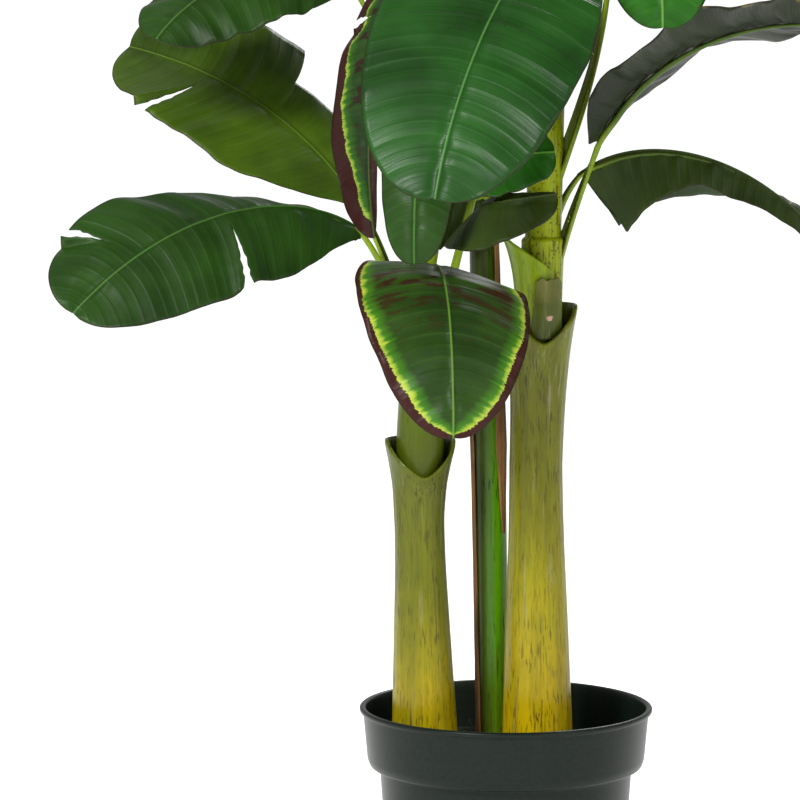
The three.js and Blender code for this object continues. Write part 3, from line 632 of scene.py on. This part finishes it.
turned("sheath_tall", SHEATH_TALL, 144, "a", "sheath_a", ["sheath_a"], rim=notch(-84, 32, 75),
       stretch=60, longest=3.2, relief=0.22, radius=20, shape=lapped(-84, 0.7))
turned("sheath_short", SHEATH_SHORT, 144, "b", "sheath_b", ["sheath_b"], rim=notch(-80, 31, 80),
       stretch=50, longest=3.2, relief=0.2, radius=20, shape=lapped(-80, 0.7))
turned("core_tall", CORE_TALL, 96, "a", "core_a", ["core_a"], longest=6, relief=0.16, radius=3)
turned("core_short", CORE_SHORT, 96, "b", "core_b", ["core_b"], longest=6, relief=0.14, radius=20)
turned("thin_stem", THIN_STEM, 72, "c", "slim_stem", ["stem_c"], longest=6, relief=0.14,
       radius=20)
turned("spear_leaf", SPEAR, 48, "a", "stalk", ["spear"], longest=6, relief=0.1, radius=20,
       shape=rolled)


def plate(name, on, bearing, spread, low, high, radius, thick, material_key, node, flare=0.0, slant=0.0,
          ragged=0.0, size=(40, 60), bow=0.0, pointed=0):
    """A curved plate hugging a stem: spread and thick are its half angle and thickness at bottom and top."""
    dice = random.Random(name)
    waves = [(dice.uniform(0.15, 1.1), dice.uniform(0, TURN)) for _ in range(6)]
    bm = bmesh.new()
    bmesh.ops.create_grid(bm, x_segments=size[0], y_segments=size[1], size=1)
    flat = places(bm)
    x, t = flat[:, 0], (flat[:, 1] + 1) / 2
    edge = sum(np.sin(t * 40 * f + p + x) for f, p in waves) / 6
    tips = sum(np.sin(x * 9 * f + p) for f, p in waves) / 6
    half = spread[0] + (spread[1] - spread[0]) * t + ragged * 9 * edge * t
    half = half * np.clip(0.12 + t * pointed, 0, 1) if pointed else half
    angle = np.radians(bearing + x * half)
    z = low + (high - slant * (1 + x) / 2 + ragged * 26 * tips - low) * t
    r = radius + flare * t**3 * (1 - x) / 2 + bow * (1 - x * x) * np.sin(math.pi * t)
    r = r + 0.12 * np.sin(x * 60 + 2 * np.sin(z / 14)) + thick[0] + (thick[1] - thick[0]) * t
    cx, cy = stem_centre(on, z)
    move(bm, np.stack([cx + r * np.cos(angle), cy + r * np.sin(angle), z], 1))
    bmesh.ops.recalc_face_normals(bm, faces=bm.faces)
    bm.normal_update()
    heart = Vector((float(cx.mean()), float(cy.mean()), (low + high) / 2))
    middle = min(bm.faces, key=lambda f: (f.calc_center_median() - heart).length)
    out = Vector((math.cos(math.radians(bearing)), math.sin(math.radians(bearing)), 0))
    if middle.normal.dot(out) < 0:
        bmesh.ops.reverse_faces(bm, faces=bm.faces)
    made = write(name, bm, [material_key], [node])
    solid = made.modifiers.new("thickness", "SOLIDIFY")
    solid.thickness = (max(thick) / 2 + 0.6) * MM
    solid.offset = -1
    return made


def scar_spot(bearing, height):
    """The pale knob on the leaf scar."""
    bm = bmesh.new()
    bmesh.ops.create_uvsphere(bm, u_segments=20, v_segments=12, radius=1)
    turn = math.radians(bearing)
    flat = places(bm)
    out = np.array([math.cos(turn), math.sin(turn), 0])
    side = np.array([-math.sin(turn), math.cos(turn), 0])
    knob = np.array([float(c) for c in stem_centre("a", height)] + [height]) + 24.6 * out
    wide = (3.4 + 0.5 * np.sin(5 * flat[:, 2:])) * flat[:, :1]
    tall = np.array([0, 0, 3.2]) * flat[:, 2:]
    move(bm, knob + side * wide + 0.9 * flat[:, 1:2] * out + tall)
    bmesh.ops.recalc_face_normals(bm, faces=bm.faces)
    write("scar_spot", bm, ["spot"], [])


plate("collar", "a", 238, (72, 52), 493, 580, 18.2, (2.6, 2.2), "collar", "collar_a",
      flare=15, slant=30)
plate("leaf_scar", "a", 284, (34, 24), 494, 543, 22, (1.2, 4), "snag", "snag_a", ragged=0.16, bow=1.2)
scar_spot(286, 512)
plate("husk_left", "c", 185, (40, 16), 150, 500, 14.4, (0.4, 0.6), "husk", "husk_c1",
      flare=4, ragged=0.25, size=(16, 120))
plate("husk_right", "c", 320, (34, 12), 330, 580, 14.2, (0.4, 0.6), "husk", "husk_c2",
      flare=2, ragged=0.3, size=(16, 90), pointed=3)


# ---- leaves ------------------------------------------------------------------------------------------------
def centre_line(leaf):
    """Points and directions along stalk and midrib: the sum of small steps follows the slopes and headings."""
    length, stalk = leaf["size"][0], leaf["stalk"]
    s = np.linspace(0, stalk + length, STEPS + 1)
    on_blade = np.maximum(0, (s - stalk) / length)
    on_stalk = np.minimum(1, s / stalk) ** 2
    rises, headings = leaf["rise"], leaf["heading"]
    rise = mix(rises[0], rises[1], on_stalk) + (rises[2] - rises[1]) * on_blade ** leaf["bend"]
    heading = mix(headings[0], headings[1], on_stalk) + (headings[2] - headings[1]) * on_blade
    rise, heading = np.radians(rise), np.radians(heading)
    along = np.stack([np.cos(rise) * np.cos(heading), np.cos(rise) * np.sin(heading), np.sin(rise)], 1)
    left = np.stack([-np.sin(heading), np.cos(heading), 0 * heading], 1)
    x, y = stem_centre(leaf["on"], leaf["at"])
    start = np.array([float(x), float(y), leaf["at"]])
    at = start + np.vstack([np.zeros(3), np.cumsum(along[:-1], 0)]) * s[1]
    return dict(at=at, along=along, left=left, up=np.cross(along, left), step=s[1], total=s[-1])


def frame_at(line, s):
    f = np.clip(s / line["step"], 0, STEPS - 1e-6)
    i = f.astype(int)
    t = (f - i)[:, None]
    at, along, left, up = (mix(line[key][i], line[key][i + 1], t) for key in ("at", "along", "left", "up"))
    along /= np.linalg.norm(along, axis=1)[:, None]
    over = (s - np.clip(s, 0, line["total"]))[:, None]
    return at + along * over, along, left, up


def half_width(leaf, u, side):
    foot = leaf.get("lobes", (0,))[0]
    swell = np.where(side > 0, *leaf.get("swell", (0.36, 0.36)))
    shoulder = 1 - (1 - foot) * (1 - np.minimum(1, u / swell)) ** 2
    taper = np.where(u < 0.4, 1, (1 - (np.clip(u - 0.4, 0, 0.6) / 0.6) ** leaf["point"]) ** 0.62)
    return np.maximum(0.8, leaf["size"][1] / 2 * shoulder * taper)


def surface(leaf, line, u, v, waves, mouth):
    """The blade's surface at u along it and v from -1 (right edge) to 1 (left edge), with its normal."""
    length = leaf["size"][0]
    side = np.where(v < 0, -1.0, 1.0)
    out = np.abs(v)
    droop = np.zeros_like(u)
    for tear_side, at, depth, fall in leaf.get("tears", ()):
        beyond = np.clip((u - at) / TEAR_HALF, 0, 1) * (1 - (u - at) / (1 - at))
        inner = np.clip((out - (1 - depth)) / depth, 0, 1)
        droop -= np.where((side == tear_side) & (u > at), fall * beyond * inner**0.5, 0)
    half = half_width(leaf, u, side)
    for trim_side, start, end, share, ramp in leaf.get("trim", ()):
        bitten = np.clip((u - start) / ramp, 0, 1) * np.clip((end - u) / 0.012, 0, 1)
        half = half * np.where(side == trim_side, 1 - (1 - share) * bitten, 1)
    back = leaf["lobes"][1] * np.clip(1 - u / 0.2, 0, 1) if leaf.get("lobes") else 0
    sweep = (0.12 + 0.3 * u) * half * out * out - back * out**1.5 * (1 - 0.75 * out**8)
    foot = 6 * GAP if leaf.get("lobes") else GAP
    at, along, left, up = frame_at(line, leaf["stalk"] + foot + u * (length - foot) + sweep + mouth * length)
    roll = np.radians(mix(leaf["roll"][0], leaf["roll"][1], u))[:, None]
    slope = np.radians(mix(leaf["fold"][0], leaf["fold"][1], u) + droop + leaf["curl"] * out / 2)
    height, number = leaf.get("wave", (0, 0))
    wave = height * out * out * np.sin(2 * math.pi * number * u + side)
    ripple = sum(a * np.sin(2 * math.pi * f * u + p * side + 1.3 * out) for a, f, p in waves)
    ripple = ripple * out**2 * np.sin(math.pi * np.clip(u, 0, 1)) ** 0.5
    across = side * out * half * np.cos(slope)
    lift = out * half * np.sin(slope) + wave + ripple
    across_way = left * np.cos(roll) + up * np.sin(roll)
    normal = up * np.cos(roll) - left * np.sin(roll)
    return at + across_way * across[:, None] + normal * lift[:, None], normal, half


def split_tears(bm, leaf, rows):
    """Cuts the flat grid along the rows where the blade is torn."""
    for side, at, depth, _ in leaf.get("tears", ()):
        row = round(at * rows) / rows - 0.5
        torn = {v for v in bm.verts
                if abs(v.co.x - row) < 0.2 / rows and v.co.y * side * 2 > 0.99 - depth}
        bmesh.ops.split_edges(bm, edges=[e for e in bm.edges if torn.issuperset(e.verts)])


def tear_mouths(bm, leaf, rows, u, v):
    """How far each vertex by a tear moves along the blade, so that the tear stands open."""
    ahead = [np.mean([f.calc_center_median().x for f in vert.link_faces]) for vert in bm.verts]
    ahead = np.array(ahead) + 0.5
    mouth = np.zeros_like(u)
    for side, at, depth, _ in leaf.get("tears", ()):
        row = round(at * rows) / rows
        open_by = np.clip((v * side - (1 - depth)) / depth, 0, 1) ** 1.2 * TEAR_HALF
        open_by = open_by * (1 + 0.25 * np.sin(v * 40) + 0.15 * np.sin(v * 97))
        way = np.where(ahead >= row, 1, -1)
        mouth += way * open_by * np.exp(-np.abs(u - row) / 0.05)
    return mouth


def cloth_relief(s, v, half, dice):
    """Height of the side veins, the midrib between its pressed hollows, and the creases."""
    creases = [(dice.uniform(14, 60), dice.uniform(0, TURN), dice.uniform(-1.6, 1.6), dice.uniform(-1, 1))
               for _ in range(9)]
    out = np.abs(v) * half
    inside = half * (1 - np.abs(v))
    vein = np.abs(np.cos(math.pi * (s + 1.2 * np.sin(s / 31 + dice.uniform(0, 6))) / VEIN)) ** 7
    quiet = np.clip(out / 6, 0, 1) * np.clip(inside / 2, 0.3, 1)
    pucker = sum(np.sin(2 * math.pi * s / pitch + phase + lean * v) * np.sin(1.4 + 3 * v * skew + phase)
                 for pitch, phase, lean, skew in creases)
    rib = 0.5 * np.exp(-((out / 1.3) ** 2))
    hollow = 0.6 * np.exp(-(((out - 4) / 3) ** 2)) * np.clip(out, 0, 1)
    return 0.26 * vein * quiet + rib - hollow + 0.42 * pucker * quiet


def blade(leaf):
    """Blade of printed cloth, its rows running with the side veins; gives back the leaf's centre line."""
    name, length = leaf["name"], leaf["size"][0]
    dice = random.Random(name)
    line = centre_line(leaf)
    rows, columns = ((max(120, int(length / 1.6)), 44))
    bm = bmesh.new()
    bmesh.ops.create_grid(bm, x_segments=rows, y_segments=columns, size=0.5)
    split_tears(bm, leaf, rows)
    flat = places(bm)
    u, y = flat[:, 0] + 0.5, flat[:, 1] * 2
    v = np.sign(y) * np.abs(y) ** 1.3
    mouth = tear_mouths(bm, leaf, rows, u, v)
    waves = [(dice.uniform(1.2, 2.6) / k, dice.uniform(1.2, 2.4) * k, dice.uniform(0, TURN))
             for k in (1, 1.7, 2.9, 5.1)]
    point, normal, half = surface(leaf, line, u, v, waves, mouth)
    s = u * length
    move(bm, point + normal * (cloth_relief(s, v, half, dice) + GAP)[:, None])
    dyes = [leaf["dye"], leaf.get("back", "leaf_back")]
    at = np.stack([s, v * half, half * (1 - np.abs(v))], 1)
    made = write("leaf_" + name, bm, dyes, ["blade_" + name], at=at)
    cloth = made.modifiers.new("cloth", "SOLIDIFY")
    cloth.thickness = CLOTH * MM
    cloth.offset = -1
    cloth.material_offset = 1
    cloth.material_offset_rim = 1
    return line


def spike(at, along, left, up, way, tall):
    """The way of one spike of moulding flash, which stands out from a stalk's side."""
    def place(t, angle):
        r = 0.9 * (1 - t) ** 1.5 + 0.12
        centre = at + left * way * 2.6 + (left * way * 0.8 + along * 0.6) * (t * tall)[:, None]
        return centre + along * (r * np.cos(angle))[:, None] + up * (r * np.sin(angle))[:, None]

    return place


def petiole(leaf, line):
    """Channelled stalk that runs on as the rib under the blade, with a few spikes of moulding flash."""
    name, stalk, length = leaf["name"], leaf["stalk"], leaf["size"][0]
    dice = random.Random(name + "stalk")
    total = stalk + length * RIB_END

    def reached(t):
        """Half the rings stand on the stalk and half under the blade."""
        return np.where(t < 0.5, t * 2 * stalk, stalk + (t * 2 - 1) * (total - stalk))

    def place(t, angle):
        s = reached(t)
        share, u = np.clip(s / stalk, 0, 1), np.clip((s - stalk) / length, 0, 1)
        wide = mix(8, 3.6, np.minimum(1, share * 1.4) ** 0.7) * (1 - 0.8 * u)
        thick = mix(6, 3, share) * (1 - 0.8 * u)
        at, along, left, up = frame_at(line, s)
        roll = np.radians(mix(leaf["roll"][0], leaf["roll"][1], u)) * (u > 0)
        side = left * np.cos(roll)[:, None] + up * np.sin(roll)[:, None]
        over = up * np.cos(roll)[:, None] - left * np.sin(roll)[:, None]
        turn = np.radians(leaf.get("twist", 0)) * ((1 - share**5) * (u == 0))[:, None]
        side, over = side * np.cos(turn) + over * np.sin(turn), over * np.cos(turn) - side * np.sin(turn)
        upper = np.sin(angle)
        groove = np.where(upper > 0, np.exp(-((np.cos(angle) / 0.62) ** 2)), 0) * (1 - np.clip(u * 12, 0, 1))
        rise = thick * upper * np.where(upper > 0, 0.85, 1) - groove * thick * 1.15
        rise = rise - np.clip(u * 12, 0, 1) * (thick + 0.5)
        wide = wide * (1 + 0.04 * np.sin(s / 17 + 2))
        return at + side * (wide * np.cos(angle))[:, None] + over * rise[:, None]

    bm = bmesh.new()
    t, angle = rod(bm, 24, 110, place)
    marks = [np.stack([np.maximum(0, reached(t) - stalk), 10 * np.cos(angle), 10 * np.sin(angle)], 1)]
    spikes, taller = FLASH.get(name, FLASH_ELSEWHERE)
    for _ in range(spikes):
        s0, way, tall = dice.uniform(0.3, 0.95) * stalk, dice.choice([-1, 1]), dice.uniform(2, 4.5) * taller
        at, along, left, up = (row[0] for row in frame_at(line, np.array([s0])))
        t, angle = rod(bm, 6, 4, spike(at, along, left, up, way, tall))
        marks.append(np.zeros((len(t), 3)))
    write("petiole_" + name, bm, ["stalk"], ["stalk_" + name], at=np.vstack(marks))


for leaf in LEAVES:
    petiole(leaf, blade(leaf))

# ---- stage, light and camera, in metres --------------------------------------------------------------------
floor_material, floor_tree = material("pale_floor")
glow = {"Emission Color": "#ffffff", "Emission Strength": 0.62}
finish(floor_tree, "#f4f4f2", 0.9, extra=glow)
bm = bmesh.new()
bmesh.ops.create_circle(bm, cap_ends=True, segments=96, radius=60)
floor_mesh = bpy.data.meshes.new("floor")
bm.to_mesh(floor_mesh)
bm.free()
floor_mesh.materials.append(floor_material)
floor = bpy.data.objects.new("floor", floor_mesh)
bpy.context.scene.collection.objects.link(floor)

world = bpy.data.worlds.new("studio")
bpy.context.scene.world = world
world.use_nodes = True
sky = world.node_tree.nodes["Background"]
sky.inputs["Color"].default_value = linear("#ffffff")
# plain white where it is seen, softer as a light
seen = (put(world.node_tree, "LightPath"), "Is Camera Ray")
strength = band(world.node_tree, seen, 0, 1, 0.5, 1.05)
world.node_tree.links.new(strength.outputs[0], sky.inputs["Strength"])


def lamp(name, place, aim, size, power):
    light = bpy.data.lights.new(name, "AREA")
    light.shape = "DISK"
    light.size = size
    light.energy = power
    made = bpy.data.objects.new(name, light)
    made.location = place
    made.rotation_euler = (Vector(aim) - Vector(place)).to_track_quat("-Z", "Y").to_euler()
    bpy.context.scene.collection.objects.link(made)


lamp("key", (-1.5, -2.4, 2.2), (-0.05, 0, 0.6), 0.8, 110)
lamp("fill", (2.2, -2.0, 1.4), (0, 0, 0.5), 1.4, 22)
lamp("rim", (0.6, 2.4, 2.2), (0, 0, 0.7), 1.0, 25)

camera = bpy.data.cameras.new("camera")
camera.lens = 166.5
camera.sensor_width = 36
camera.clip_end = 200
eye = bpy.data.objects.new("camera", camera)
eye.location = (0, -EYE_BACK, EYE_HEIGHT)
eye.rotation_euler = (Vector((-0.087, 0, 0.442)) - Vector(eye.location)).to_track_quat("-Z", "Y").to_euler()
bpy.context.scene.collection.objects.link(eye)
bpy.context.scene.camera = eye
bpy.context.scene.view_settings.view_transform = "Standard"

bpy.context.view_layer.update()
